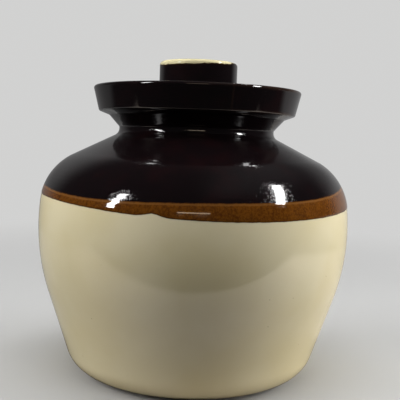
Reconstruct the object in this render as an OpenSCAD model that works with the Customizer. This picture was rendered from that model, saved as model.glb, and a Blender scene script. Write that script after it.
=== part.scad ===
// Stoneware bean pot with a lift-off lid.
// Sizes are in millimetres. The pot stands on z = 0 and is turned about the Z axis.

/* [Pot body] */
// Largest outside diameter, at the belly line
belly_d = 178; // [160:1:210]
// Height of the belly line above the table
belly_h = 84; // [75:1:95]
// Radius of the arc that swells the belly
belly_round = 121; // [100:1:150]
// Diameter of the flat that the pot stands on
foot_d = 108.5; // [90:0.5:120]
// Radius of the rounded edge round the foot
foot_round = 18.5; // [14:0.5:24]
// Radius of the shoulder arc
shoulder_round = 33.5; // [26:0.5:38]
// Angle above the belly line where the belly arc runs into the shoulder arc
shoulder_start = 6.5; // [3:0.5:12]
// Thickness of the side wall
wall = 7; // [5:0.25:9]
// Thickness of the floor above the table
floor_t = 9; // [7:0.25:12]
// Radius inside, between the floor and the side wall
floor_round = 14; // [8:0.5:18]
// Width of the ring that touches the table
foot_ring_w = 9; // [5:0.5:16]
// Height of the hollow inside that ring
foot_hollow = 1.8; // [0.8:0.1:3]

/* [Neck and collar] */
// Outside diameter of the neck at its narrowest
neck_d = 89.5; // [80:0.5:100]
// Height of the narrowest line of the neck above the table
neck_h = 139; // [132:0.5:150]
// Radius of the groove round the neck, where it runs into the shoulder
neck_round = 4.1; // [2.5:0.1:5]
// Radius of the crisp line at the top of the groove, under the flare
crease_round = 1.2; // [0.6:0.1:2]
// Height of that line above the narrowest line
crease_rise = 0.6; // [0.2:0.1:1.5]
// Thickness of the wall at the neck
neck_wall = 6.75; // [5:0.25:9]
// Distance that the flare spreads outwards above the neck
flare_w = 6.7; // [4:0.1:8]
// Height of the flare above the narrowest line
flare_h = 7.7; // [6:0.1:12]
// Radius of the hollow between the flare and the underside of the band
flare_round = 1.6; // [0.8:0.1:3]
// Distance that the band stands out past the flare
step_w = 5.3; // [4:0.1:9]
// Rise of the band's underside across that step
step_rise = 1.6; // [0.5:0.1:3]
// Height of the band, from its lower edge to the rim
band_h = 14.5; // [13:0.1:22]
// Distance that the band leans outwards from its lower edge to the rim
band_lean = 2.8; // [1:0.1:5]
// Radius of the band's lower edge
band_round = 1.6; // [0.8:0.1:2.5]
// Thickness of the collar wall beside the lid
collar_wall = 6.5; // [5:0.1:8]
// Radius of both edges of the rim
lip_round = 1.4; // [1:0.1:2.45]

/* [Lid seat] */
// Depth of the ledge that carries the lid, below the rim
seat_depth = 11; // [9:0.1:12.5]
// Radius of the ledge's inner edge, at the mouth
seat_edge = 1.5; // [0.5:0.1:2.5]
// Radius in the corner between the ledge and the collar
seat_corner = 0.8; // [0.4:0.1:1]

/* [Lid] */
// Gap all round between the lid and the collar
lid_gap = 1.2; // [0.8:0.1:2]
// Thickness of the lid at its edge
lid_t = 5; // [4:0.1:6.5]
// Rise of the lid's top from its edge to the knob
lid_crown = 1.3; // [0.4:0.1:3]
// Radius of the lid's upper edge
lid_edge_top = 2; // [1:0.1:2.4]
// Radius of the lid's lower edge, larger than the corner it sits in
lid_edge_low = 1.4; // [1.1:0.1:1.6]
// Gap all round between the locating flange and the mouth
flange_gap = 1.6; // [1:0.1:3]
// Length of the locating flange below the lid
flange_l = 8.5; // [6:0.1:14]
// Thickness of the locating flange
flange_t = 4.6; // [3.5:0.1:7]
// Radius in the root of the flange, inside
flange_root = 2.5; // [1:0.1:4]

/* [Knob] */
// Diameter of the knob
knob_d = 44.8; // [36:0.1:52]
// Height of the knob above the lid
knob_h = 20; // [14:0.1:30]
// Radius of the knob's top edge
knob_round = 1.9; // [1:0.1:5]
// Radius of the hollow that spreads the knob out to its foot on the lid
knob_cove = 2; // [1:0.1:4]
// Height of the foot's edge under that hollow
knob_foot_h = 0.7; // [0.4:0.1:2]
// Diameter of the spigot that sets the knob in the lid
spigot_d = 26; // [18:0.5:30]
// Length of the spigot
spigot_l = 1.8; // [1:0.1:2.5]
// Gap of slip all round the spigot
spigot_gap = 0.2; // [0.1:0.05:0.4]

/* [Hidden] */
$fn = 128;

// Largest distance between an arc and the chords that stand for it
chord_gap = 0.02;
// Largest turn of one chord, in degrees
chord_turn = 12;

dark_glaze = [0.10, 0.06, 0.05];
cream_glaze = [0.74, 0.69, 0.55];

belly_r = belly_d / 2;
foot_r = foot_d / 2;
neck_r = neck_d / 2;
knob_r = knob_d / 2;
knob_foot_r = knob_r + knob_cove;
spigot_r = spigot_d / 2;

// Heights of the collar, each built on the one below
flare_z = neck_h + flare_h;
band_z = flare_z + step_rise;
rim_z = band_z + band_h;
seat_z = rim_z - seat_depth;
lid_edge_z = seat_z + lid_t;
lid_z = lid_edge_z + lid_crown;
knob_z = lid_z + knob_h;

// Radii of the collar, each built on the one inside
flare_r = neck_r + flare_w;
band_r = flare_r + step_w;
rim_r = band_r + band_lean;
mouth_r = neck_r - neck_wall;
seat_r = band_r + band_lean * (seat_z - band_z) / band_h - collar_wall;
lid_r = seat_r - lid_gap;
flange_r = mouth_r - flange_gap;

// Circles of the big body arcs: [r, z, radius]
belly_c = [belly_r - belly_round, belly_h];
shoulder_c = belly_c + (belly_round - shoulder_round) * [cos(shoulder_start), sin(shoulder_start)];
neck_c = [neck_r + neck_round, neck_h];
floor_c = [foot_r + foot_round - wall - floor_round, floor_t + floor_round];

// A turned section is drawn as a belt run round a list of circles [r, z, radius] with the clay on its left:
// a positive radius swells, a negative one hollows, and 0 is a sharp corner.

// Turn from one direction to another, the short way round
function turn(from, to) = (to - from) - 360 * round((to - from) / 360);

// Outward direction of the straight line that touches circle a and then circle b
function side(a, b) =
    let (d = [b.x - a.x, b.y - a.y])
    atan2(d.y, d.x) - acos(min(1, max(-1, (a.z - b.z) / norm(d))));

// Points round one circle, from the direction of the line before it to that of the line after it
function arc(c, from, to) =
    let (sweep = turn(from, to),
         chord = c.z == 0 ? 360 : min(chord_turn, 2 * acos(1 - chord_gap / max(abs(c.z), chord_gap))),
         steps = max(1, ceil(abs(sweep) / chord)))
    c.z == 0 ? [[c.x, c.y]]
             : [for (i = [0:steps]) let (a = from + sweep * i / steps)
                [c.x, c.y] + c.z * [cos(a), sin(a)]];

// The closed outline: the first and the last entry are sharp corners on the axis
function belt(circles) =
    let (last = len(circles) - 1,
         sides = [for (i = [0:last - 1]) side(circles[i], circles[i + 1])],
         points = [for (i = [0:last])
                   each arc(circles[i], sides[max(0, i - 1)], sides[min(last - 1, i)])])
    [for (i = [0:len(points) - 1])
        if (i == 0 || norm(points[i] - points[i - 1]) > chord_gap / 10) points[i]];

module turned(circles) {
    rotate_extrude() polygon(belt(circles));
}

// The pot: foot, belly, shoulder and neck, then the collar with the ledge that carries the lid
module pot() {
    foot_ring_r = foot_r - foot_ring_w;
    inner_lean = band_lean * seat_depth / band_h;
    color(cream_glaze) turned([
        [0, foot_hollow, 0],
        [foot_ring_r - foot_hollow, foot_hollow, 0],
        [foot_ring_r, 0, 0],
        [foot_r, foot_round, foot_round],
        [belly_c.x, belly_c.y, belly_round],
        [shoulder_c.x, shoulder_c.y, shoulder_round],
        [neck_c.x, neck_c.y, -neck_round],
        [neck_r + crease_round, neck_h + crease_rise, -crease_round],
        [flare_r, flare_z - flare_round, -flare_round],
        [band_r - band_round, band_z + band_round, band_round],
        [rim_r - lip_round, rim_z - lip_round, lip_round],
        [seat_r + inner_lean + lip_round, rim_z - lip_round, lip_round],
        [seat_r - seat_corner, seat_z + seat_corner, -seat_corner],
        [mouth_r + seat_edge, seat_z - seat_edge, seat_edge],
        [neck_c.x, neck_c.y, neck_round + neck_wall],
        [shoulder_c.x, shoulder_c.y, wall - shoulder_round],
        [belly_c.x, belly_c.y, wall - belly_round],
        [floor_c.x, floor_c.y, -floor_round],
        [0, floor_t, 0]
    ]);
}

// The lid: a crowned plate on the ledge, with a flange below that keeps it central in the mouth
module lid() {
    flange_z = seat_z - flange_l;
    flange_in = flange_r - flange_t;
    flange_end = flange_t / 2;
    socket_z = lid_z - spigot_l;
    color(dark_glaze) turned([
        [0, seat_z, 0],
        [flange_in - flange_root, seat_z - flange_root, -flange_root],
        [flange_r - flange_end, flange_z + flange_end, flange_end],
        [flange_r, seat_z, 0],
        [lid_r - lid_edge_low, seat_z + lid_edge_low, lid_edge_low],
        [lid_r - lid_edge_top, lid_edge_z - lid_edge_top, lid_edge_top],
        [knob_foot_r, lid_z, 0],
        [spigot_r + spigot_gap, lid_z, 0],
        [spigot_r + spigot_gap, socket_z, 0],
        [0, socket_z, 0]
    ]);
}

// The knob: a short straight drum, set in the lid by a spigot and luted to it at its foot
module knob() {
    foot_z = lid_z + knob_foot_h;
    color(dark_glaze) turned([
        [0, lid_z - spigot_l, 0],
        [spigot_r, lid_z - spigot_l, 0],
        [spigot_r, lid_z, 0],
        [knob_foot_r, lid_z, 0],
        [knob_foot_r, foot_z, 0],
        [knob_foot_r, foot_z + knob_cove, -knob_cove],
        [knob_r - knob_round, knob_z - knob_round, knob_round],
        [0, knob_z, 0]
    ]);
}

pot();
lid();
knob();
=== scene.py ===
"""Visual model of a lidded stoneware bean pot: turned pieces, dipped glazes and a plain studio."""
import math

import bmesh
import bpy
from bpy.props import FloatProperty, FloatVectorProperty, IntProperty, PointerProperty
from mathutils import Matrix, Vector


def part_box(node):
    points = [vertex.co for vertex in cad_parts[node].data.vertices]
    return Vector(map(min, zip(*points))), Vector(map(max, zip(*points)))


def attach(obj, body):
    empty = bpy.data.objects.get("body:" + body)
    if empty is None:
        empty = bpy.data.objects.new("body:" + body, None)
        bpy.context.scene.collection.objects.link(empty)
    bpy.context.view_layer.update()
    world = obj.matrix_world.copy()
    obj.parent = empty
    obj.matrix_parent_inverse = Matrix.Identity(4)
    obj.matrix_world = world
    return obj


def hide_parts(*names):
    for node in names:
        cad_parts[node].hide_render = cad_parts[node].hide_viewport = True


bl_info = {
    "name": "Lidded bean pot",
    "version": (1, 0, 0),
    "blender": (4, 5, 0),
    "location": "3D View > Sidebar > Bean pot",
    "description": "Turns and glazes a stoneware bean pot with a lift-off lid",
    "category": "Add Mesh",
}

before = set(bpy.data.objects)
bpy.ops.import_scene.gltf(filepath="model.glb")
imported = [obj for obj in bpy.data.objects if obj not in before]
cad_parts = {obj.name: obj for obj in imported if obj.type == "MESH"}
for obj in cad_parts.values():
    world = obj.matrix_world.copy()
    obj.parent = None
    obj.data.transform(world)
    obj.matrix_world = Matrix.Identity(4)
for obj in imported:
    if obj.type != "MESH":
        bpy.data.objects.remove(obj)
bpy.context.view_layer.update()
POT_LOW, POT_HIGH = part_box("pot")
LID_LOW, LID_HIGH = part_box("lid")
KNOB_LOW, KNOB_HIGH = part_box("knob")

MM = 0.001

# Waves of the two dip lines: turns round the pot, height, and azimuth of the crest in degrees.
# Azimuth is 0 towards the camera and grows towards +X.
DARK_LINE_WAVES = (
    (1, 3.3 * MM, 139.0),
    (2, 1.4 * MM, -170.0),
    (3, 0.45 * MM, -113.0),
    (4, 0.85 * MM, 24.0),
)
CREAM_LINE_WAVES = (
    (1, 1.4 * MM, -134.0),
    (2, 1.9 * MM, -151.0),
)
# Notch where the dip was begun and ended: azimuth and spread in degrees, and height.
LAP_NOTCH = (-12.5, 3.0, 1.6 * MM)
# Run of dark glaze down the band, a slight ridge whose paler line is a painted reflection: azimuth and
# half its width in degrees, and its height in millimetres.
DRIP_AT = 17.6
DRIP_HALF = 0.9
DRIP_HEIGHT = 0.06
# Height of the turning rings in the lid, in millimetres.
TURNING_HEIGHT = 0.03
# Wiped line of the knob: how steeply it rises towards +X, how much lower it lies in front, and its wobble.
WIPE_RISE = 0.045
WIPE_FRONT = 1.5 * MM
WIPE_WOBBLE = 2.4 * MM


def length(name, description, millimetres):
    """A length that is written in millimetres and kept in metres."""
    return FloatProperty(name=name, description=description, default=millimetres * MM,
                         precision=5, subtype="DISTANCE", unit="LENGTH")


def angle(name, description, degrees):
    """An angle that is written in degrees."""
    return FloatProperty(name=name, description=description, default=math.radians(degrees),
                         subtype="ANGLE", unit="ROTATION")


def tint(name, description, default):
    """A colour in linear light."""
    return FloatVectorProperty(name=name, description=description, default=default,
                               size=3, min=0.0, max=1.0, subtype="COLOR")


def grey(name, description, level):
    """A grey in linear light."""
    return tint(name, description, (level, level, level))


def brightness(name, default):
    """How bright a lamp looks, where 1 is white."""
    description = f"Brightness of the {name.lower()}"
    return FloatProperty(name=name, description=description, default=default, min=0.0)


class PotSizes(bpy.types.PropertyGroup):
    """Sizes of the turned pieces."""
    belly_r: length("Belly", "Largest outside radius", POT_HIGH.x / MM)
    belly_h: length("Belly line", "Height of the widest line", 84)
    belly_round: length("Belly arc", "Radius of the arc that swells the belly", 121)
    foot_r: length("Foot", "Radius of the ring that the pot stands on", 54.25)
    foot_round: length("Foot edge", "Radius of the edge round the foot", 18.5)
    foot_ring_w: length("Foot ring", "Width of the ring that the pot stands on", 9)
    foot_hollow: length("Foot hollow", "Height of the hollow inside the ring", 1.8)
    foot_edge: length("Foot ring edge", "Radius of the ring's inner edges", 0.8)
    shoulder_round: length("Shoulder arc", "Radius of the shoulder", 33.5)
    shoulder_start: angle("Shoulder start", "Where the belly runs into the shoulder", 6.5)
    wall: length("Wall", "Thickness of the side wall", 7)
    floor_t: length("Floor", "Height of the floor inside", 9)
    floor_round: length("Floor corner", "Radius between floor and wall inside", 14)
    neck_r: length("Neck", "Outside radius of the neck at its narrowest", 44.75)
    neck_h: length("Neck line", "Height of the narrowest line", 139)
    neck_round: length("Neck groove", "Radius of the groove above the shoulder", 4.1)
    crease_round: length("Neck crease", "Radius of the crisp line under the flare", 1.2)
    crease_rise: length("Crease rise", "Height of the crease above the neck line", 0.6)
    neck_wall: length("Neck wall", "Thickness of the wall at the neck", 6.75)
    flare_w: length("Flare width", "How far the flare spreads", 6.7)
    flare_h: length("Flare height", "Height of the flare above the neck line", 7.7)
    flare_round: length("Flare hollow", "Radius between flare and band", 1.6)
    step_w: length("Band step", "How far the band stands out", 5.3)
    step_rise: length("Step rise", "Rise of the band's underside", 1.6)
    band_lean: length("Band lean", "How far the band leans out to the rim", 2.8)
    band_round: length("Band edge", "Radius of the band's lower edge", 1.6)
    lip_round: length("Lip", "Radius of both edges of the rim", 1.4)
    collar_wall: length("Collar wall", "Thickness of the collar beside the lid", 6.5)
    seat_depth: length("Seat", "Depth of the lid's ledge below the rim", 11)
    seat_edge: length("Seat edge", "Radius of the ledge's inner edge", 1.5)
    seat_corner: length("Seat corner", "Radius in the ledge's corner", 0.8)
    lid_t: length("Lid", "Thickness of the lid at its edge", 5)
    lid_edge_top: length("Lid upper edge", "Radius of the lid's upper edge", 2)
    lid_edge_low: length("Lid lower edge", "Radius of the lid's lower edge", 1.4)
    flange_r: length("Flange", "Outside radius of the lid's flange", 36.4)
    flange_t: length("Flange wall", "Thickness of the flange", 4.6)
    flange_root: length("Flange root", "Radius in the root of the flange", 2.5)
    knob_r: length("Knob", "Radius of the knob", 22.4)
    knob_round: length("Knob edge", "Radius of the knob's top edge", 1.9)
    knob_foot_h: length("Knob foot", "Height of the knob's foot under its hollow", 0.7)
    spigot_r: length("Spigot", "Radius of the spigot that sets the knob", 13)
    spigot_gap: length("Slip", "Gap of slip round the spigot", 0.2)
    unevenness: FloatProperty(name="Unevenness", description="Depth of the soft hollows per their width",
                              default=0.003)
    overlap_rise: length("Overlap", "How far the doubled glaze stands proud", 0.16)
    glaze_t: length("Glaze", "Thickness of one coat of glaze", 0.15)
    spin_steps: IntProperty(name="Spin steps", description="Faces round a turned piece", default=224)


class GlazeLooks(bpy.types.PropertyGroup):
    """Colours and lines of the glazes."""
    dark_line_z: length("Dark line", "Mean height where the dark glaze ends", 107.6)
    cream_line_z: length("Cream line", "Mean height where the cream glaze shows", 99.0)
    foot_line_z: length("Foot line", "Height where the glaze stops above the table", 1.6)
    wiped_line_z: length("Wiped line", "Height below the knob's top where glaze is wiped", 2.4)
    dark: tint("Dark glaze", "Thick dark glaze", (0.0042, 0.0024, 0.0028))
    dark_red: tint("Dark glaze, warm", "Warm clouds in the dark glaze", (0.0075, 0.0027, 0.0031))
    # Also the colour of the painted reflection line down the band.
    dark_thin_and_glint_line: tint("Dark glaze, thin", "Dark glaze where an edge has thinned it", (0.024, 0.012, 0.0075))
    caramel: tint("Caramel", "Overlap of the two glazes", (0.135, 0.045, 0.0040))
    caramel_deep: tint("Caramel, deep", "Runs in the overlap", (0.072, 0.021, 0.0025))
    caramel_light: tint("Caramel, light", "Line under the dark glaze", (0.20, 0.088, 0.022))
    caramel_edge: tint("Caramel edge", "Lower edge of the overlap", (0.042, 0.019, 0.0040))
    cream: tint("Cream glaze", "Lower glaze", (0.68, 0.605, 0.40))
    cream_warm: tint("Cream glaze, warm", "Clouds in the lower glaze", (0.64, 0.555, 0.335))
    speck: tint("Specks", "Iron specks in the cream", (0.16, 0.10, 0.045))
    clay: tint("Bare clay", "Unglazed stoneware", (0.50, 0.41, 0.28))
    clay_dark: tint("Bare clay, dark", "Grain of the stoneware", (0.33, 0.25, 0.16))
    wiped: tint("Wiped knob", "Top of the knob where the glaze is wiped", (0.69, 0.625, 0.375))
    inside: tint("Inside glaze", "Brown glaze inside the pot", (0.040, 0.017, 0.009))
    inside_deep: tint("Inside glaze, deep", "Pools of the inside glaze", (0.016, 0.007, 0.005))


class StageSettings(bpy.types.PropertyGroup):
    """Camera, lamps and background."""
    camera_at: FloatVectorProperty(name="Camera", description="Place of the camera",
                                   default=(0.0, -0.4094, 0.1329), subtype="TRANSLATION", unit="LENGTH")
    camera_lens: FloatProperty(name="Lens", description="Focal length on a 36 mm sensor",
                               default=63.0, unit="CAMERA")
    camera_pitch: angle("Pitch", "How far the camera looks down", 4.76)
    camera_yaw: angle("Yaw", "How far the camera looks to the right", 0.48)
    camera_roll: angle("Roll", "How far the camera is turned about its own line", 1.99)
    lamp_far: length("Lamp distance", "Distance of the lamps from the pot", 1600)
    lamp_near: length("Reflector distance", "Distance of the right reflector from the pot", 400)
    top_soft: brightness("Top softbox", 5.1)
    left_soft: brightness("Left softbox", 7.3)
    right_soft: brightness("Right softbox", 6.8)
    right_near: brightness("Right reflector", 3.9)
    window_glow: brightness("Windows", 40.0)
    left_spot_glow: brightness("Left spot", 5.0)
    right_spot_glow: brightness("Right spot", 18.0)
    strip_glow: brightness("Front strip", 5.0)
    strip_tint: tint("Front strip colour", "Warm light of the mirrored strip", (1.0, 0.82, 0.6))
    pale: tint("Background", "Pale background", (0.64, 0.64, 0.635))
    floor: tint("Floor", "Pale floor round the pot", (0.40, 0.40, 0.396))
    # Painted shade: the floor that the glaze mirrors, in shade beside and behind the pot.
    shaded_floor_sheen: tint("Floor in the glaze", "Colour of the floor that the glaze mirrors", (0.22, 0.22, 0.218))
    # Painted light: the lit table in front and on the right, as the glaze mirrors it.
    lit_table_sheen: tint("Table in the glaze", "Colour of the table in front that the glaze mirrors",
                      (0.68, 0.61, 0.53))
    bounce: tint("Floor bounce", "Colour of the light that the floor throws back", (0.40, 0.375, 0.35))
    dim: tint("Dim side", "Unlit front of the studio", (0.03, 0.03, 0.031))
    ceiling: tint("Ceiling", "Light from above on the right", (0.16, 0.16, 0.162))
    glow_left: grey("Backdrop, left", "Light low on the backdrop, on the left", 0.20)
    glow_right: grey("Backdrop, right", "Light low on the backdrop, on the right", 0.36)
    high_left: grey("Upper left", "Light high on the backdrop, on the left", 0.27)
    high_right: grey("Upper right", "Light high on the backdrop, on the right", 0.20)


# Turned outlines

# Largest turn and length of a chord in an arc.
CHORD_TURN = math.radians(6.0)
CHORD_LENGTH = 2.5 * MM
# Straight stretches longer than this are held flat, so far from their ends.
LONG_STRETCH = 1.2 * CHORD_LENGTH
EDGE_HOLD = 0.4 * MM


def tangent(first, then):
    """Outward direction of the line that touches one circle and then the next."""
    run, rise = then[0] - first[0], then[1] - first[1]
    lean = (first[2] - then[2]) / math.hypot(run, rise)
    return math.atan2(rise, run) - math.acos(max(-1.0, min(1.0, lean)))


def arc(circle, start, end):
    """Points round one circle, from the line before it to the line after it."""
    r, z, radius = circle
    if radius == 0:
        return [(r, z)]
    sweep = math.remainder(end - start, math.tau)
    step = min(CHORD_TURN, CHORD_LENGTH / abs(radius))
    count = max(1, math.ceil(abs(sweep) / step))
    turns = [start + sweep * i / count for i in range(count + 1)]
    return [(r + radius * math.cos(a), z + radius * math.sin(a)) for a in turns]


def hold_ends(points):
    """Adds a point near both ends of each long straight stretch, so that it shades flat."""
    held = points[:1]
    for (r0, z0), (r1, z1) in zip(points, points[1:]):
        run = math.hypot(r1 - r0, z1 - z0)
        if run > LONG_STRETCH:
            share = EDGE_HOLD / run
            held += [(r0 + (r1 - r0) * t, z0 + (z1 - z0) * t) for t in (share, 1.0 - share)]
        held.append((r1, z1))
    return held


def belt(circles):
    """Outline run round circles (r, z, radius) with the clay on its left.

    A positive radius swells, a negative one hollows and 0 is a sharp corner.
    """
    sides = [tangent(a, b) for a, b in zip(circles, circles[1:])]
    points = []
    for i, circle in enumerate(circles):
        points += arc(circle, sides[max(0, i - 1)], sides[min(len(sides) - 1, i)])
    return hold_ends(points)


def collar(size):
    """Heights and radii of the collar, shared by the pot and its lid."""
    flare_r = size.neck_r + size.flare_w
    flare_z = size.neck_h + size.flare_h
    band_r, band_z = flare_r + size.step_w, flare_z + size.step_rise
    rim_r, rim_z = band_r + size.band_lean, POT_HIGH.z
    seat_z = rim_z - size.seat_depth
    lean = size.band_lean / (rim_z - band_z)
    seat_r = band_r + lean * (seat_z - band_z) - size.collar_wall
    return {
        "flare": (flare_r, flare_z),
        "band": (band_r, band_z),
        "rim": (rim_r, rim_z),
        "seat": (seat_r, seat_z),
        "inner_rim": (seat_r + lean * size.seat_depth, rim_z),
    }


def pot_outline(size):
    """Half section of the pot: under the foot, up the outside, over the rim and down the inside."""
    corner = collar(size)
    (flare_r, flare_z), (band_r, band_z), (rim_r, rim_z) = corner["flare"], corner["band"], corner["rim"]
    (seat_r, seat_z), (inner_r, _) = corner["seat"], corner["inner_rim"]
    ring_r, hollow, edge = size.foot_r - size.foot_ring_w, size.foot_hollow, size.foot_edge
    mouth_r = size.neck_r - size.neck_wall
    belly = (size.belly_r - size.belly_round, size.belly_h)
    reach, start = size.belly_round - size.shoulder_round, size.shoulder_start
    shoulder = (belly[0] + reach * math.cos(start), belly[1] + reach * math.sin(start))
    neck = (size.neck_r + size.neck_round, size.neck_h)
    floor_r = size.foot_r + size.foot_round - size.wall - size.floor_round
    return belt([
        (0, hollow, 0),
        (ring_r - hollow - edge, hollow - edge, -edge),
        (ring_r + edge, edge, edge),
        (size.foot_r, size.foot_round, size.foot_round),
        (*belly, size.belly_round),
        (*shoulder, size.shoulder_round),
        (*neck, -size.neck_round),
        (size.neck_r + size.crease_round, size.neck_h + size.crease_rise, -size.crease_round),
        (flare_r, flare_z - size.flare_round, -size.flare_round),
        (band_r - size.band_round, band_z + size.band_round, size.band_round),
        (rim_r - size.lip_round, rim_z - size.lip_round, size.lip_round),
        (inner_r + size.lip_round, rim_z - size.lip_round, size.lip_round),
        (seat_r - size.seat_corner, seat_z + size.seat_corner, -size.seat_corner),
        (mouth_r + size.seat_edge, seat_z - size.seat_edge, size.seat_edge),
        (*neck, size.neck_round + size.neck_wall),
        (*shoulder, size.wall - size.shoulder_round),
        (*belly, size.wall - size.belly_round),
        (floor_r, size.floor_t + size.floor_round, -size.floor_round),
        (0, size.floor_t, 0),
    ])


def lid_outline(size):
    """Half section of the lid: under the plate, round the flange and edge, and down into the socket."""
    seat_z = collar(size)["seat"][1]
    flange_z = LID_LOW.z
    flange_in = size.flange_r - size.flange_t
    flange_end = size.flange_t / 2
    lid_r, lid_z = LID_HIGH.x, LID_HIGH.z
    socket_r = size.spigot_r + size.spigot_gap
    socket_z = KNOB_LOW.z
    return belt([
        (0, seat_z, 0),
        (flange_in - size.flange_root, seat_z - size.flange_root, -size.flange_root),
        (size.flange_r - flange_end, flange_z + flange_end, flange_end),
        (size.flange_r + size.seat_corner, seat_z - size.seat_corner, -size.seat_corner),
        (lid_r - size.lid_edge_low, seat_z + size.lid_edge_low, size.lid_edge_low),
        (lid_r - size.lid_edge_top, seat_z + size.lid_t - size.lid_edge_top, size.lid_edge_top),
        (KNOB_HIGH.x, lid_z, 0),
        (socket_r, lid_z, 0),
        (socket_r, socket_z, 0),
        (0, socket_z, 0),
    ])


def knob_outline(size):
    """Half section of the knob: round its spigot and foot, up the side and over the top."""
    foot_r, lid_z = KNOB_HIGH.x, LID_HIGH.z
    cove = foot_r - size.knob_r
    cove_z = lid_z + size.knob_foot_h + cove
    return belt([
        (0, KNOB_LOW.z, 0),
        (size.spigot_r, KNOB_LOW.z, 0),
        (size.spigot_r, lid_z, 0),
        (foot_r, lid_z, 0),
        (foot_r, lid_z + size.knob_foot_h, 0),
        (foot_r, cove_z, -cove),
        (size.knob_r - size.knob_round, KNOB_HIGH.z - size.knob_round, size.knob_round),
        (0, KNOB_HIGH.z, 0),
    ])


# Modelling steps

# Radius of the dot that an outline grows from, gap that a spin closes, and angle that shades sharp.
DOT_RADIUS = 1 * MM
MERGE_GAP = 0.002 * MM
CREASE = math.radians(40.0)


def draw_outline(name, outline):
    """Draws a half section in the XZ plane, point after point, and leaves it in edit mode."""
    r, z = outline[0]
    bpy.ops.object.select_all(action="DESELECT")
    bpy.ops.mesh.primitive_circle_add(vertices=3, radius=DOT_RADIUS, location=(r, 0.0, z))
    piece = bpy.context.object
    piece.name = name
    piece.data.name = name
    bpy.ops.object.transform_apply(location=True, rotation=True, scale=True)
    bpy.ops.object.mode_set(mode="EDIT")
    bpy.ops.mesh.select_all(action="SELECT")
    bpy.ops.mesh.merge(type="CENTER")
    for (r0, z0), (r1, z1) in zip(outline, outline[1:]):
        bpy.ops.mesh.extrude_vertices_move(TRANSFORM_OT_translate={"value": (r1 - r0, 0.0, z1 - z0)})
    return piece


def add_rows(piece, low, high, outside, cuts):
    """Cuts the outline's edges between two heights, outside a radius, into short rows."""
    mesh = bmesh.from_edit_mesh(piece.data)
    for vert in mesh.verts:
        vert.select_set(False)
    for edge in mesh.edges:
        inside_rows = all(low < v.co.z < high and v.co.x > outside for v in edge.verts)
        edge.select_set(inside_rows)
    bmesh.update_edit_mesh(piece.data)
    bpy.ops.mesh.subdivide(number_cuts=cuts)


def spin_outline(piece, steps):
    """Spins the drawn outline about the Z axis into a closed piece and smooths it."""
    bpy.ops.mesh.select_all(action="SELECT")
    bpy.ops.mesh.spin(steps=steps, angle=math.tau, center=(0, 0, 0), axis=(0, 0, 1))
    bpy.ops.mesh.select_all(action="SELECT")
    bpy.ops.mesh.remove_doubles(threshold=MERGE_GAP)
    bpy.ops.mesh.normals_make_consistent(inside=False)
    bpy.ops.object.mode_set(mode="OBJECT")
    bpy.ops.object.shade_smooth_by_angle(angle=CREASE)
    check_closed(piece)


def check_closed(piece):
    """Stops the script if a piece has an open edge."""
    mesh = bmesh.new()
    mesh.from_mesh(piece.data)
    loose = sum(1 for edge in mesh.edges if len(edge.link_faces) != 2)
    mesh.free()
    if loose:
        raise RuntimeError(f"{piece.name} has {loose} open edges")


def displace(piece, **settings):
    """Moves the surface along its normals, by a modifier with the settings given."""
    relief = piece.modifiers.new("relief", "DISPLACE")
    for name, value in settings.items():
        setattr(relief, name, value)
    bpy.ops.object.select_all(action="DESELECT")
    piece.select_set(True)
    bpy.context.view_layer.objects.active = piece
    bpy.ops.object.modifier_apply(modifier=relief.name)


def soften(piece, unevenness, spread):
    """Sinks soft hollows of that spread into the surface, as a hand leaves them on wet clay."""
    clouds = bpy.data.textures.new(f"{piece.name}_hollows", type="CLOUDS")
    clouds.noise_scale = spread
    clouds.noise_depth = 1
    displace(piece, texture=clouds, texture_coords="LOCAL", mid_level=1.0, strength=unevenness * spread)


def raise_by(piece, name, height, weight):
    """Moves the surface along its normals by height times the weight of each point."""
    group = piece.vertex_groups.new(name=name)
    for vert in piece.data.vertices:
        amount = weight(vert.co)
        if amount > 0:
            group.add([vert.index], amount, "REPLACE")
    displace(piece, vertex_group=name, mid_level=0.0, strength=height)
    piece.vertex_groups.clear()


def smooth_step(low, high, value):
    """Rises smoothly from 0 at low to 1 at high."""
    t = max(0.0, min(1.0, (value - low) / (high - low)))
    return t * t * (3.0 - 2.0 * t)


def azimuth(place):
    """Angle round the pot, 0 towards the camera and growing towards +X."""
    return math.atan2(place.x, -place.y)


def waves(around, crests):
    """Sum of a few waves round the pot."""
    return sum(height * math.cos(turns * around - math.radians(crest)) for turns, height, crest in crests)


def dark_line(looks, place):
    """Height of a point above the line where the dark glaze ends."""
    return place.z - looks.dark_line_z - waves(azimuth(place), DARK_LINE_WAVES)


def cream_line(looks, place):
    """Height of a point above the line where the cream glaze begins to show."""
    around = azimuth(place)
    crest, spread, height = LAP_NOTCH
    notch = height * math.exp(-((math.degrees(around) - crest) / spread) ** 2)
    return place.z - looks.cream_line_z - waves(around, CREAM_LINE_WAVES) - notch


def store(piece, name, measure):
    """Keeps a measure of each point as an attribute that a material can read."""
    attribute = piece.data.attributes.new(name, "FLOAT", "POINT")
    attribute.data.foreach_set("value", [measure(v.co) for v in piece.data.vertices])


# Node tools

# Sockets of the Mix node by number, since they share their names: the factor and the two that are mixed.
MIX_NUMBERS = (0, 2, 3)
MIX_COLOURS = (0, 6, 7)
MIXED_COLOUR = 2


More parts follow.
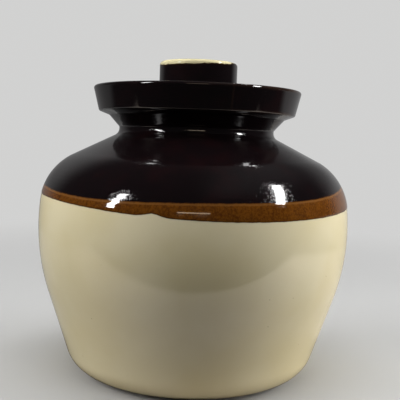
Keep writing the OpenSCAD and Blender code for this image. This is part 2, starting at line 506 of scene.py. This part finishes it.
class Shading:
    """Short calls that add nodes to a material, a world or a group."""

    def __init__(self, tree):
        self.tree = tree

    def feed(self, socket, value):
        """Links a socket or sets its plain value, which for a colour has no alpha yet."""
        if isinstance(value, bpy.types.NodeSocket):
            self.tree.links.new(value, socket)
        elif socket.type == "RGBA":
            socket.default_value = (*value, 1.0)
        else:
            socket.default_value = value

    def node(self, kind, inputs=None, **settings):
        """Adds a node with its settings and the inputs that are named."""
        made = self.tree.nodes.new(kind)
        for name, value in settings.items():
            setattr(made, name, value)
        for name, value in (inputs or {}).items():
            self.feed(made.inputs[name], value)
        return made

    def place(self):
        """Object coordinates."""
        return self.node("ShaderNodeTexCoord").outputs["Object"]

    def attribute(self, name):
        """A measure that the mesh carries."""
        return self.node("ShaderNodeAttribute", attribute_name=name).outputs["Fac"]

    def parts(self, vector):
        """X, Y and Z of a vector."""
        return self.node("ShaderNodeSeparateXYZ", {"Vector": vector}).outputs

    def sum(self, operation, first, second=0.0, third=None):
        """One step of arithmetic."""
        inputs = {0: first, 1: second}
        if third is not None:
            inputs[2] = third
        return self.node("ShaderNodeMath", inputs, operation=operation).outputs[0]

    def times(self, first, second):
        """Product of two values."""
        return self.sum("MULTIPLY", first, second)

    def distance(self, across, along):
        """Length of a line from its two parts, such as X and Y from the pot's axis."""
        return self.sum("SQRT", self.sum("MULTIPLY_ADD", across, across, self.times(along, along)))

    def ramp(self, value, low, high, start=0.0, end=1.0):
        """A smooth rise from start at low to end at high."""
        inputs = {"Value": value, "From Min": low, "From Max": high, "To Min": start, "To Max": end}
        return self.node("ShaderNodeMapRange", inputs, interpolation_type="SMOOTHSTEP").outputs["Result"]

    def stripe(self, value, middle, half):
        """1 on a line and 0 at half its width away, on both sides."""
        away = self.sum("ABSOLUTE", self.sum("SUBTRACT", value, middle))
        return self.ramp(away, 0.0, half, 1.0, 0.0)

    def blend(self, factor, first, second):
        """Mixes two colours."""
        inputs = dict(zip(MIX_COLOURS, (factor, first, second)))
        return self.node("ShaderNodeMix", inputs, data_type="RGBA").outputs[MIXED_COLOUR]

    def between(self, factor, first, second):
        """Mixes two plain numbers."""
        inputs = dict(zip(MIX_NUMBERS, (factor, first, second)))
        return self.node("ShaderNodeMix", inputs).outputs[0]

    def noise(self, vector, scale, detail=2.0, rough=0.5, squeeze=None):
        """Soft noise, squeezed along the axes where that is asked."""
        if squeeze:
            vector = self.node("ShaderNodeMapping", {"Vector": vector, "Scale": squeeze}).outputs["Vector"]
        inputs = {"Vector": vector, "Scale": scale, "Detail": detail, "Roughness": rough}
        return self.node("ShaderNodeTexNoise", inputs).outputs["Fac"]

    def wobble(self, vector, scale, detail, rough=0.5):
        """Soft noise about zero."""
        return self.sum("SUBTRACT", self.noise(vector, scale, detail, rough), 0.5)

    def group(self, name, inputs):
        """Places a shared group, which is made when it is first asked for."""
        tree = bpy.data.node_groups.get(name) or GROUPS[name](name)
        return self.node("ShaderNodeGroup", inputs, node_tree=tree).outputs


def new_group(name, inputs, outputs):
    """An empty shader group that takes a place and other values, and puts out values."""
    tree = bpy.data.node_groups.new(name, "ShaderNodeTree")
    tree.interface.new_socket("Place", in_out="INPUT", socket_type="NodeSocketVector")
    for side, sockets in (("INPUT", inputs), ("OUTPUT", outputs)):
        for socket in sockets:
            tree.interface.new_socket(socket, in_out=side, socket_type="NodeSocketFloat")
    mix = Shading(tree)
    start = mix.node("NodeGroupInput")
    end = mix.node("NodeGroupOutput")
    return tree, mix, start.outputs, end.inputs


# Shared effects of the glazes


def glaze_skin(name):
    """Orange peel, slow swells and fine beads of a fired glaze, as a height in millimetres."""
    tree, mix, given, made = new_group(name, ("Grain", "Peel", "Beads"), ("Height", "Gloss"))
    peel = mix.noise(given["Place"], given["Grain"], detail=1.0)
    swell = mix.noise(given["Place"], 90.0, detail=1.0)
    cells = mix.node("ShaderNodeTexVoronoi", {"Vector": given["Place"], "Scale": given["Grain"]})
    strength = mix.parts(cells.outputs["Color"])[0]
    beads = mix.times(strength, mix.ramp(cells.outputs["Distance"], 0.0, 0.5, 1.0, 0.0))
    height = mix.sum("MULTIPLY_ADD", peel, given["Peel"], mix.times(swell, 0.02))
    mix.feed(made["Height"], mix.sum("MULTIPLY_ADD", beads, given["Beads"], height))
    mix.feed(made["Gloss"], mix.noise(given["Place"], 160.0, detail=3.0))
    return tree


def thin_edge(name):
    """Mask where a glaze runs thin over a turned edge, broken up along it and most on the +X side."""
    tree, mix, given, made = new_group(name, ("Radius", "Height", "Reach"), ("Mask",))
    x, y, z = mix.parts(given["Place"])
    out = mix.sum("SUBTRACT", mix.distance(x, y), given["Radius"])
    up = mix.sum("SUBTRACT", z, given["Height"])
    near = mix.sum("SUBTRACT", 1.0, mix.sum("DIVIDE", mix.distance(out, up), given["Reach"]))
    broken = mix.ramp(mix.noise(given["Place"], 40.0, detail=5.0, rough=0.6), 0.35, 0.65, 0.1, 1.0)
    sided = mix.ramp(x, 0.0, 50 * MM, 0.1, 1.0)
    mix.feed(made["Mask"], mix.times(mix.ramp(near, 0.0, 0.9), mix.times(broken, sided)))
    return tree


def specks(name):
    """Mask of small scattered specks."""
    tree, mix, given, made = new_group(name, ("Spacing", "Size", "Share"), ("Mask",))
    cells = mix.node("ShaderNodeTexVoronoi", {"Vector": given["Place"], "Scale": given["Spacing"]})
    pick = mix.parts(cells.outputs["Color"])[0]
    kept = mix.sum("LESS_THAN", pick, given["Share"])
    reach = mix.times(given["Size"], mix.ramp(pick, 0.0, given["Share"], 0.4, 1.0))
    dot = mix.ramp(mix.sum("DIVIDE", cells.outputs["Distance"], reach), 0.6, 1.0, 1.0, 0.0)
    mix.feed(made["Mask"], mix.times(dot, kept))
    return tree


GROUPS = {"Glaze skin": glaze_skin, "Thin edge": thin_edge, "Specks": specks}


# Materials

# Lowest and highest roughness of the glazes, and the roughness of bare clay and of the wiped knob.
GLOSSY = (0.03, 0.07)
SOFTER = (0.05, 0.10)
DULLER = (0.10, 0.20)
BARE = 0.8
WIPED = 0.06
# Depth of a thin ring below the corner that its edge rounds off, as a share of the edge's radius.
RING_SHARE = 0.3


def empty_nodes(owner):
    """Clears the nodes of a material or a world."""
    owner.use_nodes = True
    owner.node_tree.nodes.clear()
    return Shading(owner.node_tree)


def new_material(name):
    """A material with nothing but its glossy shader and output."""
    material = bpy.data.materials.new(name)
    mix = empty_nodes(material)
    shader = mix.node("ShaderNodeBsdfPrincipled")
    end = mix.node("ShaderNodeOutputMaterial", {"Surface": shader.outputs[0]})
    end.is_active_output = True
    return material, mix, shader


def roughness(mix, skin, limits):
    """Roughness that varies softly over a glaze between its limits."""
    return mix.ramp(skin["Gloss"], 0.3, 0.7, *limits)


def dress(mix, shader, tone, rough, height):
    """Feeds the shader a glaze's colour, its roughness and, as a fine bump, its height in millimetres."""
    relief = mix.node("ShaderNodeBump", {"Height": height, "Strength": 1.0, "Distance": MM})
    mix.feed(shader.inputs["Base Color"], tone)
    mix.feed(shader.inputs["Roughness"], rough)
    mix.feed(shader.inputs["Normal"], relief.outputs["Normal"])


def dark_glaze(mix, place, looks, rings):
    """Colour of the dark glaze, with warm clouds and the thin edges at the rings given."""
    clouds = mix.ramp(mix.noise(place, 55.0, detail=4.0, rough=0.6), 0.45, 0.75)
    body = mix.blend(clouds, looks.dark, looks.dark_red)
    for radius, height, reach in rings:
        mask = mix.group("Thin edge", {"Place": place, "Radius": radius, "Height": height, "Reach": reach})
        body = mix.blend(mask["Mask"], body, looks.dark_thin_and_glint_line)
    return body


def bare_clay(mix, place, looks):
    """Colour of unglazed stoneware."""
    grain = mix.ramp(mix.noise(place, 900.0, detail=4.0, rough=0.7), 0.35, 0.7)
    return mix.blend(grain, looks.clay, looks.clay_dark)


def caramel_glaze(mix, place, looks, above_dark, above_cream):
    """Colour of the overlap: mottled, with a light line under the dark glaze and a darker lower edge."""
    runs = mix.noise(place, 170.0, detail=3.0, rough=0.6, squeeze=(1.0, 1.0, 0.5))
    grain = mix.noise(place, 900.0, detail=2.0, rough=0.7)
    mottle = mix.ramp(mix.between(0.7, runs, grain), 0.38, 0.62)
    body = mix.blend(mottle, looks.caramel, looks.caramel_deep)
    light_line = mix.times(mix.stripe(above_dark, -0.6 * MM, 0.8 * MM), 0.6)
    body = mix.blend(light_line, body, looks.caramel_light)
    edge_line = mix.ramp(above_cream, 0.2 * MM, 1.0 * MM, 0.6, 0.0)
    return mix.blend(edge_line, body, looks.caramel_edge)


def cream_glaze(mix, place, looks):
    """Colour of the cream glaze, with warm clouds and specks of iron."""
    clouds = mix.ramp(mix.noise(place, 22.0, detail=3.0), 0.35, 0.7)
    body = mix.blend(clouds, looks.cream, looks.cream_warm)
    dots = mix.group("Specks", {"Place": place, "Spacing": 160.0, "Size": 0.07, "Share": 0.16})
    return mix.blend(mix.times(dots["Mask"], 0.7), body, looks.speck)


def drip_and_glint_mask(mix, place, low, high):
    """Mask of the run of dark glaze down the band, which thins out between two heights. It raises a slight
    ridge and paints a paler line that stands in for a reflection.
    """
    x, y, z = mix.parts(place)
    around = mix.sum("ARCTAN2", x, mix.times(y, -1.0))
    run = mix.stripe(around, math.radians(DRIP_AT), math.radians(DRIP_HALF))
    return mix.times(run, mix.ramp(z, low, high))


def outside_glaze(size, looks):
    """Dark glaze over cream, caramel where they overlap, and a bare foot."""
    material, mix, shader = new_material("two_tone_glaze")
    place = mix.place()
    z = mix.parts(place)[2]
    corner = collar(size)
    (band_r, band_z), (rim_r, rim_z) = corner["band"], corner["rim"]
    flare_z, inner_r = corner["flare"][1], corner["inner_rim"][0]
    lip = size.lip_round * RING_SHARE

    wobble = mix.wobble(place, 240.0, detail=4.0)
    above_dark = mix.sum("MULTIPLY_ADD", wobble, 0.7 * MM, mix.attribute("dark_line"))
    above_cream = mix.sum("MULTIPLY_ADD", wobble, 0.5 * MM, mix.attribute("cream_line"))
    above_foot = mix.sum("MULTIPLY_ADD", mix.wobble(place, 130.0, detail=3.0), 1.4 * MM, z)
    is_caramel = mix.ramp(above_cream, -0.12 * MM, 0.18 * MM)
    is_dark = mix.ramp(above_dark, -0.35 * MM, 0.45 * MM)
    is_bare = mix.ramp(above_foot, looks.foot_line_z - 0.1 * MM, looks.foot_line_z + 0.1 * MM, 1.0, 0.0)

    rings = [
        (rim_r - lip, rim_z - lip, 2.2 * MM),
        (inner_r + lip, rim_z - lip, 2.0 * MM),
        (band_r, band_z + size.band_round * 0.4, 1.5 * MM),
    ]
    drip_and_glint = drip_and_glint_mask(mix, place, flare_z, band_z)
    dark = dark_glaze(mix, place, looks, rings)
    # Painted reflection: the run's line is painted paler in the thin glaze's colour.
    dark = mix.blend(mix.times(drip_and_glint, 0.4), dark, looks.dark_thin_and_glint_line)
    caramel = caramel_glaze(mix, place, looks, above_dark, above_cream)
    glaze = mix.blend(is_caramel, cream_glaze(mix, place, looks), caramel)
    glaze = mix.blend(is_dark, glaze, dark)
    glaze = mix.blend(is_bare, glaze, bare_clay(mix, place, looks))

    beads = mix.times(is_dark, mix.ramp(z, flare_z - 2 * MM, band_z, 0.022, 0.003))
    peel = mix.between(is_dark, 0.0008, 0.004)
    skin = mix.group("Glaze skin", {"Place": place, "Grain": 1700.0, "Peel": peel, "Beads": beads})
    rough = mix.between(is_bare, roughness(mix, skin, GLOSSY), BARE)
    over_neck = mix.ramp(z, size.neck_h + 1.5 * MM, size.neck_h + 3 * MM)
    on_flare = mix.times(over_neck, mix.ramp(z, flare_z, band_z, 1.0, 0.0))
    mix.feed(shader.inputs["Specular IOR Level"], mix.between(on_flare, 0.5, 0.2))
    dress(mix, shader, glaze, rough, mix.sum("MULTIPLY_ADD", drip_and_glint, DRIP_HEIGHT, skin["Height"]))
    return material


def inside_glaze(looks):
    """Brown glaze of the inside, darker where it pools."""
    material, mix, shader = new_material("inside_glaze")
    place = mix.place()
    pools = mix.ramp(mix.noise(place, 40.0, detail=4.0), 0.35, 0.65)
    glaze = mix.blend(pools, looks.inside, looks.inside_deep)
    skin = mix.group("Glaze skin", {"Place": place, "Grain": 600.0, "Peel": 0.03, "Beads": 0.03})
    dress(mix, shader, glaze, roughness(mix, skin, DULLER), skin["Height"])
    return material


def lid_glaze(size, looks):
    """Dark glaze of the lid, with faint turning rings."""
    material, mix, shader = new_material("lid_dark_glaze")
    place = mix.place()
    lid_r, edge_z = LID_HIGH.x, collar(size)["seat"][1] + size.lid_t
    edge = size.lid_edge_top * RING_SHARE
    rings = [
        (lid_r - edge, edge_z - edge, 1.8 * MM),
        (size.flange_r - size.flange_t / 2, LID_LOW.z, 2.4 * MM),
    ]
    skin = mix.group("Glaze skin", {"Place": place, "Grain": 1400.0, "Peel": 0.008, "Beads": 0.022})
    inputs = {"Vector": place, "Scale": 60.0, "Distortion": 1.2, "Detail": 1.0}
    turning = mix.node("ShaderNodeTexWave", inputs, wave_type="RINGS", rings_direction="Z").outputs["Fac"]
    height = mix.sum("MULTIPLY_ADD", turning, TURNING_HEIGHT, skin["Height"])
    dress(mix, shader, dark_glaze(mix, place, looks, rings), roughness(mix, skin, SOFTER), height)
    return material


def knob_glaze(size, looks):
    """Dark glaze of the knob, wiped off its top."""
    material, mix, shader = new_material("knob_dark_glaze")
    place = mix.place()
    x, y, z = mix.parts(place)
    leaning = mix.sum("MULTIPLY_ADD", x, -WIPE_RISE, z)
    height = mix.sum("MULTIPLY_ADD", mix.ramp(y, -size.knob_r, 0.0), -WIPE_FRONT, leaning)
    wobble = mix.wobble(place, 170.0, detail=5.0, rough=0.65)
    height = mix.sum("MULTIPLY_ADD", wobble, WIPE_WOBBLE, height)
    line = KNOB_HIGH.z - looks.wiped_line_z
    top_r = size.knob_r - size.knob_round
    on_top = mix.ramp(mix.distance(x, y), top_r - 0.4 * MM, top_r + 0.2 * MM, 1.0, 0.0)
    is_wiped = mix.sum("MAXIMUM", on_top, mix.ramp(height, line - 0.12 * MM, line + 0.12 * MM))

    rings = [(KNOB_HIGH.x, LID_HIGH.z + size.knob_foot_h, 1.2 * MM)]
    dark = dark_glaze(mix, place, looks, rings)
    rust = mix.times(mix.stripe(height, line - 0.3 * MM, 0.6 * MM), 0.6)
    dark = mix.blend(rust, dark, looks.caramel_edge)
    clouds = mix.ramp(mix.noise(place, 90.0, detail=4.0), 0.55, 0.75)
    top = mix.blend(clouds, looks.wiped, looks.cream)
    skin = mix.group("Glaze skin", {"Place": place, "Grain": 1400.0, "Peel": 0.004, "Beads": 0.003})
    rough = mix.between(is_wiped, roughness(mix, skin, GLOSSY), WIPED)
    dress(mix, shader, mix.blend(is_wiped, dark, top), rough, skin["Height"])
    return material


# Pieces

# Width of the soft hollows in each piece.
POT_HOLLOWS = 60 * MM
LID_HOLLOWS = 30 * MM
KNOB_HOLLOWS = 18 * MM
# How far above and below the overlap the rows are cut finer, and into how many more.
ROW_REACH = 6 * MM
ROW_CUTS = 4


def sizes_and_looks(context):
    """The sizes and the glazes that the sidebar holds."""
    return context.scene.bean_pot_sizes, context.scene.bean_pot_looks


def glaze_inside(pot, size):
    """Gives the faces inside the pot, above its foot and below the ledge, its second material."""
    ledge_z = collar(size)["seat"][1] - size.seat_edge / 2
    for face in pot.data.polygons:
        on_wall = face.normal.x * face.center.x + face.normal.y * face.center.y < 0
        on_floor = face.normal.z > 0 and face.center.z < size.belly_h
        if size.foot_hollow * 2 < face.center.z < ledge_z and (on_wall or on_floor):
            face.material_index = 1


class BEANPOT_OT_make_pot(bpy.types.Operator):
    """Turn the pot, raise its glaze and colour it"""
    bl_idname = "bean_pot.make_pot"
    bl_label = "Pot"

    def execute(self, context):
        size, looks = sizes_and_looks(context)
        pot = draw_outline("pot_shell", pot_outline(size))
        outside_r = size.belly_r - size.foot_round
        add_rows(pot, looks.cream_line_z - ROW_REACH, looks.dark_line_z + ROW_REACH, outside_r, ROW_CUTS)
        spin_outline(pot, size.spin_steps)
        soften(pot, size.unevenness, POT_HOLLOWS)

        def overlap(place):
            """Weight of the doubled glaze, on the outside only."""
            if math.hypot(place.x, place.y) < outside_r:
                return 0.0
            rise = smooth_step(-0.2 * MM, 0.7 * MM, cream_line(looks, place))
            fall = smooth_step(2.0 * MM, 25.0 * MM, dark_line(looks, place))
            return rise * (1.0 - fall)

        def foot(place):
            """Weight of the bare clay at the foot."""
            return 1.0 - smooth_step(looks.foot_line_z - 0.6 * MM, looks.foot_line_z + 0.4 * MM, place.z)

        raise_by(pot, "overlap", size.overlap_rise, overlap)
        raise_by(pot, "bare_foot", -size.glaze_t, foot)
        store(pot, "dark_line", lambda place: dark_line(looks, place))
        store(pot, "cream_line", lambda place: cream_line(looks, place))

        pot.data.materials.append(outside_glaze(size, looks))
        pot.data.materials.append(inside_glaze(looks))
        glaze_inside(pot, size)
        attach(pot, "pot")
        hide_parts("pot")
        return {"FINISHED"}


class BEANPOT_OT_make_lid(bpy.types.Operator):
    """Turn the lid's plate with its flange and glaze it"""
    bl_idname = "bean_pot.make_lid"
    bl_label = "Lid"

    def execute(self, context):
        size, looks = sizes_and_looks(context)
        lid = draw_outline("lid_plate", lid_outline(size))
        spin_outline(lid, size.spin_steps)
        soften(lid, size.unevenness, LID_HOLLOWS)
        lid.data.materials.append(lid_glaze(size, looks))
        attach(lid, "lid")
        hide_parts("lid")
        return {"FINISHED"}


class BEANPOT_OT_make_knob(bpy.types.Operator):
    """Turn the lid's knob, glaze it and wipe its top"""
    bl_idname = "bean_pot.make_knob"
    bl_label = "Knob"

    def execute(self, context):
        size, looks = sizes_and_looks(context)
        knob = draw_outline("lid_knob", knob_outline(size))
        spin_outline(knob, size.spin_steps)
        soften(knob, size.unevenness, KNOB_HOLLOWS)
        knob.data.materials.append(knob_glaze(size, looks))
        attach(knob, "lid")
        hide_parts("knob")
        return {"FINISHED"}


# Stage

WHITE = (1.0, 1.0, 1.0)
# Width of the camera's sensor, in millimetres.
SENSOR_WIDTH = 36.0
# Height that the lamps face, as a share of the pot's.
SHOULDER_SHARE = 0.65
# Width of the floor, and the distances from the pot over which it fades into the background and stops
# throwing light back, in metres.
FLOOR_SIZE = 12.0
FLOOR_FADE = (0.25, 0.75)
BOUNCE_FADE = (0.075, 0.14)
# The floor as the glaze mirrors it is a table: its front edge with half its blur, where its sides and its
# back fade out, and the dim ring round the pot's foot, which is a painted shadow of the pot, in metres.
TABLE_EDGE = -0.182
EDGE_BLUR = 6 * MM
TABLE_SIDES = (0.40, 0.49)
TABLE_BACK = (0.38, 0.65)
FOOT_SHADOW_RING = (0.08, 0.12)
# The backdrop and the ceiling, as X, Y and Z of the direction towards them: where the backdrop begins
# behind the pot, where its top fades and how much lower it is on the right, where its low light gives way
# to its high light, and where the ceiling begins, upwards and to the right.
BACKDROP_START = (0.35, 0.75)
BACKDROP_TOP = (0.5, 0.87)
BACKDROP_DROP = 0.15
BACKDROP_RISE = (0.15, 0.4)
CEILING_RISE = (0.5, 0.9)
CEILING_SIDE = (-0.05, 0.4)


def add_camera(stage):
    """A camera at the photograph's view."""
    data = bpy.data.cameras.new("camera")
    data.lens = stage.camera_lens
    data.sensor_width = SENSOR_WIDTH
    camera = bpy.data.objects.new("camera", data)
    bpy.context.scene.collection.objects.link(camera)
    turn = (Matrix.Rotation(-stage.camera_yaw, 4, "Z")
            @ Matrix.Rotation(math.pi / 2 - stage.camera_pitch, 4, "X")
            @ Matrix.Rotation(stage.camera_roll, 4, "Z"))
    camera.matrix_world = Matrix.Translation(stage.camera_at) @ turn
    bpy.context.scene.camera = camera


def add_lamp(name, direction, size, distance, level, lean=0.0, mirrored=False, hue=WHITE):
    """A flat lamp that faces the shoulder of the pot.

    Its direction (round the pot and up), its size (width and height) and its lean are in degrees.
    A mirrored lamp shows only as a highlight in the glaze. Any other lights the object softly.
    """
    target = Vector((0.0, 0.0, POT_HIGH.z * SHOULDER_SHARE))
    around, up = (math.radians(degrees) for degrees in direction)
    width, height = (math.radians(degrees) for degrees in size)
    towards = Vector((math.sin(around) * math.cos(up), -math.cos(around) * math.cos(up), math.sin(up)))
    data = bpy.data.lights.new(name, "AREA")
    data.shape = "RECTANGLE"
    data.size = 2.0 * distance * math.tan(width / 2)
    data.size_y = 2.0 * distance * math.tan(height / 2)
    data.energy = level * math.pi * data.size * data.size_y
    data.color = hue
    lamp = bpy.data.objects.new(name, data)
    bpy.context.scene.collection.objects.link(lamp)
    lamp.visible_camera = False
    lamp.visible_glossy = mirrored
    lamp.visible_diffuse = not mirrored
    facing = towards.to_track_quat("Z", "Y").to_matrix().to_4x4()
    lamp.matrix_world = (Matrix.Translation(target + towards * distance) @ facing
                         @ Matrix.Rotation(math.radians(lean), 4, "Z"))


def seen_directly(mix, ray):
    """Mask of the rays that show the stage itself, not its light or its image in the glaze."""
    return mix.sum("MAXIMUM", ray["Is Camera Ray"], ray["Is Transmission Ray"])


def low_glow(mix, stage, x, reach):
    """Light low on the backdrop, from its left to its right."""
    return mix.blend(mix.ramp(x, -reach, reach), stage.glow_left, stage.glow_right)


def past_table(mix, x, y):
    """Mask of the floor past the edges of the mirrored table."""
    front = mix.ramp(y, TABLE_EDGE - EDGE_BLUR, TABLE_EDGE + EDGE_BLUR, 1.0, 0.0)
    sides = mix.ramp(mix.sum("ABSOLUTE", x), *TABLE_SIDES)
    return mix.sum("MAXIMUM", mix.sum("MAXIMUM", front, sides), mix.ramp(y, *TABLE_BACK))


def table_light_and_shade(mix, stage, x, y, away):
    """Colour of the mirrored table, with painted light and shade: pale in front and on the right where
    light falls, dim round the foot as a painted shadow of the pot.
    """
    # Painted light: the table is paler in front and on the right, where more light falls on it.
    lit_front = mix.ramp(y, TABLE_EDGE * 0.5, TABLE_EDGE * 0.1, 1.0, 0.0)
    lit_right = mix.times(mix.ramp(x, -20 * MM, 70 * MM), mix.ramp(y, 0.10, 0.25, 0.45, 0.15))
    is_lit = mix.sum("MAXIMUM", lit_front, lit_right)
    tone = mix.blend(is_lit, stage.shaded_floor_sheen, stage.lit_table_sheen)
    # Painted shadow: the table is dim round the foot, where the pot shades it, except on the right.
    out_of_foot_shadow = mix.sum("MAXIMUM", mix.ramp(away, *FOOT_SHADOW_RING), lit_right)
    return mix.blend(out_of_foot_shadow, stage.dim, tone)


def floor_material(stage):
    """Pale floor that keeps the pot's shadow and fades into the background.

    The glaze mirrors it as a table with painted light and shade, with the backdrop behind and the dim
    front of the studio before it.
    """
    material = bpy.data.materials.new("pale_floor")
    mix = empty_nodes(material)
    x, y, _ = mix.parts(mix.place())
    away = mix.distance(x, y)
    ray = mix.node("ShaderNodeLightPath").outputs
    in_gloss, in_bounce = ray["Is Glossy Ray"], ray["Is Diffuse Ray"]

    tone = mix.blend(in_gloss, stage.floor, table_light_and_shade(mix, stage, x, y, away))
    tone = mix.blend(in_bounce, tone, stage.bounce)
    lit = mix.node("ShaderNodeBsdfDiffuse", {"Color": tone})
    pale = mix.node("ShaderNodeEmission", {"Color": stage.pale})
    fade = mix.times(seen_directly(mix, ray), mix.ramp(away, *FLOOR_FADE))
    shown = mix.node("ShaderNodeMixShader", {0: fade, 1: lit.outputs[0], 2: pale.outputs[0]})

    # Painted light: past the table the floor glows like the backdrop and the dim front, in the glaze and
    # in the light it throws back, though it is no lamp.
    backdrop = mix.blend(mix.ramp(y, 0.12, 0.36), stage.dim, low_glow(mix, stage, x, 0.3))
    far = mix.node("ShaderNodeEmission", {"Color": backdrop})
    far_gloss = mix.times(in_gloss, past_table(mix, x, y))
    far_bounce = mix.times(in_bounce, mix.ramp(away, *BOUNCE_FADE))
    is_far = mix.sum("MAXIMUM", far_gloss, far_bounce)
    both = mix.node("ShaderNodeMixShader", {0: is_far, 1: shown.outputs[0], 2: far.outputs[0]})
    mix.node("ShaderNodeOutputMaterial", {"Surface": both.outputs[0]})
    return material


def add_floor(stage):
    """A wide pale floor."""
    bpy.ops.object.select_all(action="DESELECT")
    bpy.ops.mesh.primitive_plane_add(size=FLOOR_SIZE)
    floor = bpy.context.object
    floor.name = "floor"
    floor.data.materials.append(floor_material(stage))


def add_world(stage):
    """A pale background for the camera.

    As light, it is an uneven backdrop behind the pot, a ceiling on the right and dim everywhere else.
    """
    world = bpy.data.worlds.new("studio")
    mix = empty_nodes(world)
    x, y, z = mix.parts(mix.node("ShaderNodeTexCoord").outputs["Generated"])
    side = mix.ramp(x, -0.3, 0.3)
    rise = mix.sum("MULTIPLY_ADD", side, BACKDROP_DROP, z)
    behind = mix.times(mix.ramp(y, *BACKDROP_START), mix.ramp(rise, *BACKDROP_TOP, 1.0, 0.0))
    high_glow = mix.blend(side, stage.high_left, stage.high_right)
    glow = mix.blend(mix.ramp(z, *BACKDROP_RISE), low_glow(mix, stage, x, 0.5), high_glow)
    overhead = mix.times(mix.ramp(z, *CEILING_RISE), mix.ramp(x, *CEILING_SIDE))
    light = mix.blend(overhead, stage.dim, stage.ceiling)
    light = mix.blend(behind, light, glow)
    seen = seen_directly(mix, mix.node("ShaderNodeLightPath").outputs)
    background = mix.node("ShaderNodeBackground", {"Color": mix.blend(seen, light, stage.pale)})
    mix.node("ShaderNodeOutputWorld", {"Surface": background.outputs[0]})
    bpy.context.scene.world = world


class BEANPOT_OT_make_stage(bpy.types.Operator):
    """Set the camera, the lamps, the floor and the background"""
    bl_idname = "bean_pot.make_stage"
    bl_label = "Stage"

    def execute(self, context):
        stage = context.scene.bean_pot_stage
        far, near = stage.lamp_far, stage.lamp_near
        add_camera(stage)
        add_lamp("top_softbox", (0.0, 78.0), (40.0, 40.0), far, stage.top_soft)
        add_lamp("left_softbox", (-78.0, 27.0), (40.0, 36.0), far, stage.left_soft)
        add_lamp("right_softbox", (100.0, 17.0), (48.0, 34.0), far, stage.right_soft)
        add_lamp("right_reflector", (78.0, 8.0), (30.0, 34.0), near, stage.right_near)
        add_lamp("left_window", (-57.8, 24.3), (5.5, 22.4), far, stage.window_glow, -12.0, mirrored=True)
        add_lamp("right_window", (73.3, 36.0), (6.8, 30.6), far, stage.window_glow, -30.7, mirrored=True)
        add_lamp("left_spot", (-147.0, 63.0), (3.5, 3.5), far, stage.left_spot_glow, mirrored=True)
        add_lamp("right_spot", (149.0, 56.4), (3.5, 3.5), far, stage.right_spot_glow, mirrored=True)
        add_lamp("front_strip", (0.0, 13.4), (22.0, 5.0), far, stage.strip_glow, mirrored=True,
                 hue=stage.strip_tint)
        add_floor(stage)
        add_world(stage)
        context.scene.view_settings.view_transform = "Standard"
        return {"FINISHED"}


class BEANPOT_PT_sidebar(bpy.types.Panel):
    """Pieces of the bean pot and the sizes they are made from"""
    bl_idname = "BEANPOT_PT_sidebar"
    bl_label = "Bean pot"
    bl_space_type = "VIEW_3D"
    bl_region_type = "UI"
    bl_category = "Bean pot"

    def draw(self, context):
        for maker in MAKERS:
            self.layout.operator(maker.bl_idname)
        for group in SETTINGS:
            settings = getattr(context.scene, group)
            box = self.layout.box()
            for name in settings.__annotations__:
                box.prop(settings, name)


SETTINGS = {"bean_pot_sizes": PotSizes, "bean_pot_looks": GlazeLooks, "bean_pot_stage": StageSettings}
MAKERS = (BEANPOT_OT_make_stage, BEANPOT_OT_make_pot, BEANPOT_OT_make_lid, BEANPOT_OT_make_knob)


def register():
    """Adds the settings, the operators and the panel."""
    for name, group in SETTINGS.items():
        bpy.utils.register_class(group)
        setattr(bpy.types.Scene, name, PointerProperty(type=group))
    for cls in (*MAKERS, BEANPOT_PT_sidebar):
        bpy.utils.register_class(cls)


def unregister():
    """Takes them away again."""
    for cls in (BEANPOT_PT_sidebar, *reversed(MAKERS)):
        bpy.utils.unregister_class(cls)
    for name, group in reversed(SETTINGS.items()):
        delattr(bpy.types.Scene, name)
        bpy.utils.unregister_class(group)


def main():
    """Registers the add-on's classes and makes every piece in order."""
    register()
    bpy.ops.bean_pot.make_stage()
    bpy.ops.bean_pot.make_pot()
    bpy.ops.bean_pot.make_lid()
    bpy.ops.bean_pot.make_knob()


if __name__ == "__main__":
    main()
